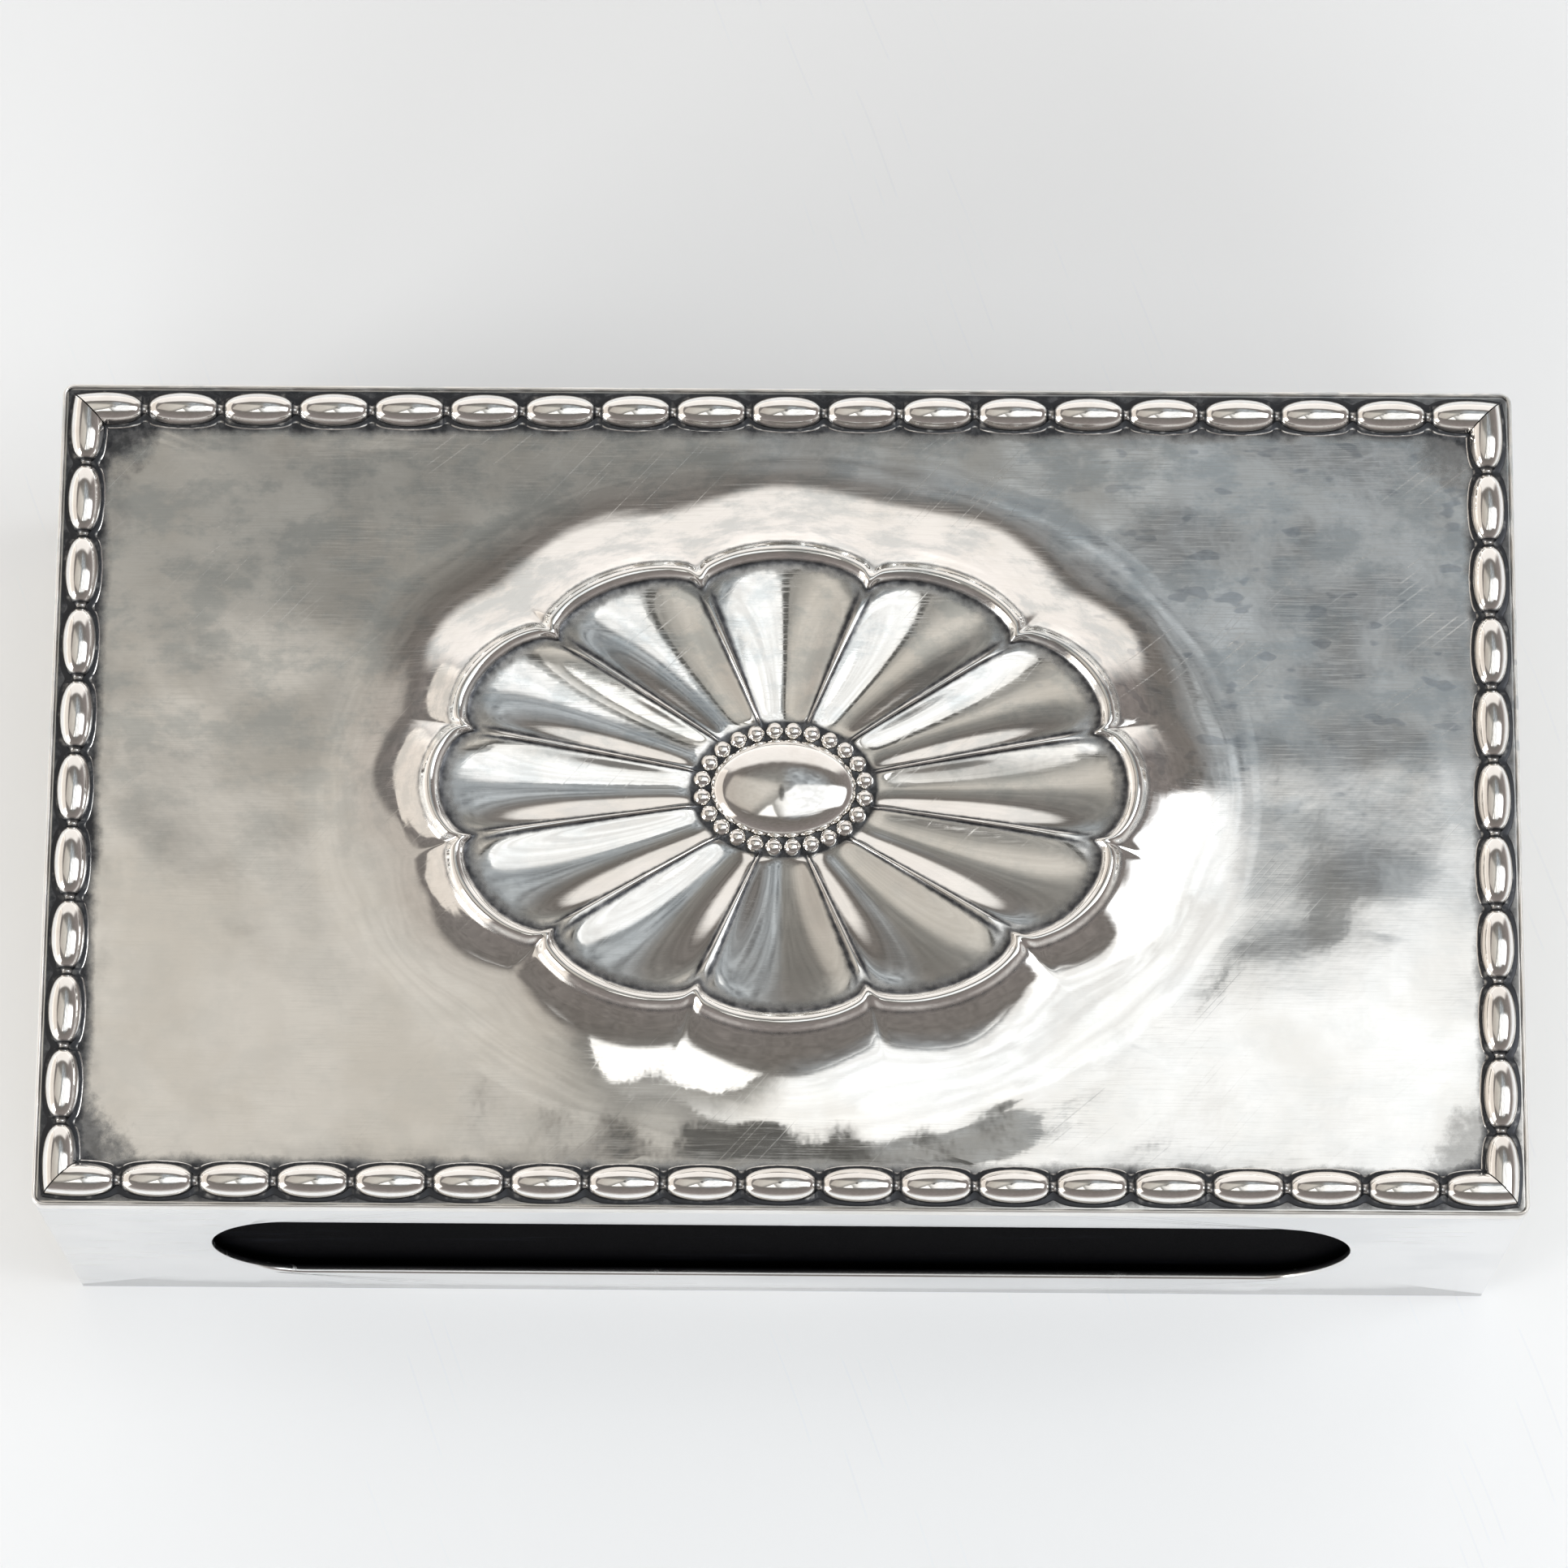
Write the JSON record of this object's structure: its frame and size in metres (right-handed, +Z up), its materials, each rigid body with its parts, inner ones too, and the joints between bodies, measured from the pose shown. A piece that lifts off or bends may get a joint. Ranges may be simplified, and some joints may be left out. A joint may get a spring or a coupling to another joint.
{
  "type": "matchbox case",
  "caption": "Polished silver table case for a household matchbox, with a beaded cover, a raised oval rosette, windows over the striking strips, open ends, and a sliding box and tray.",
  "frame": {"origin": "middle of the flat underside, on the surface that the case stands on", "axes": "+X along the case towards its right-hand open end, +Y to the back wall, +Z up through the cover"},
  "size_m": [0.121, 0.07, 0.0394],
  "materials": {
    "silver": "polished silver with fine wear scratches, darkened in the recesses",
    "card": "matte plain card",
    "striking_coat": "black friction coat, slightly glossy, with dust and light scuffs",
    "match_wood": "plain split aspen",
    "match_head": "matte dried head paste"
  },
  "bodies": {
    "case": {"base_plate": "silver", "front_wall": "silver", "back_wall": "silver", "cover": "silver", "bead_moulding_front": "silver", "bead_moulding_right": "silver", "bead_moulding_back": "silver", "bead_moulding_left": "silver"},
    "matchbox": {"matchbox_sleeve": "card", "striker_front": "striking_coat", "striker_back": "striking_coat"},
    "tray": {"matchbox_tray": "card", "match_stick_01": "match_wood", "match_stick_02": "match_wood", "match_stick_03": "match_wood", "match_stick_04": "match_wood", "match_stick_05": "match_wood", "match_stick_06": "match_wood", "match_stick_07": "match_wood", "match_stick_08": "match_wood", "match_stick_09": "match_wood", "match_stick_10": "match_wood", "match_stick_11": "match_wood", "match_stick_12": "match_wood", "match_stick_13": "match_wood", "match_stick_14": "match_wood", "match_stick_15": "match_wood", "match_stick_16": "match_wood", "match_stick_17": "match_wood", "match_stick_18": "match_wood", "match_head_01": "match_head", "match_head_02": "match_head", "match_head_03": "match_head", "match_head_04": "match_head", "match_head_05": "match_head", "match_head_06": "match_head", "match_head_07": "match_head", "match_head_08": "match_head", "match_head_09": "match_head", "match_head_10": "match_head", "match_head_11": "match_head", "match_head_12": "match_head", "match_head_13": "match_head", "match_head_14": "match_head", "match_head_15": "match_head", "match_head_16": "match_head", "match_head_17": "match_head", "match_head_18": "match_head"}
  },
  "joints": [
    {"name": "matchbox_slide", "type": "slide", "parent": "case", "child": "matchbox", "axis": [1, 0, 0], "range_m": [-0.121, 0.121]},
    {"name": "tray_slide", "type": "slide", "parent": "matchbox", "child": "tray", "axis": [1, 0, 0], "range_m": [-0.1, 0.1]}
  ]
}
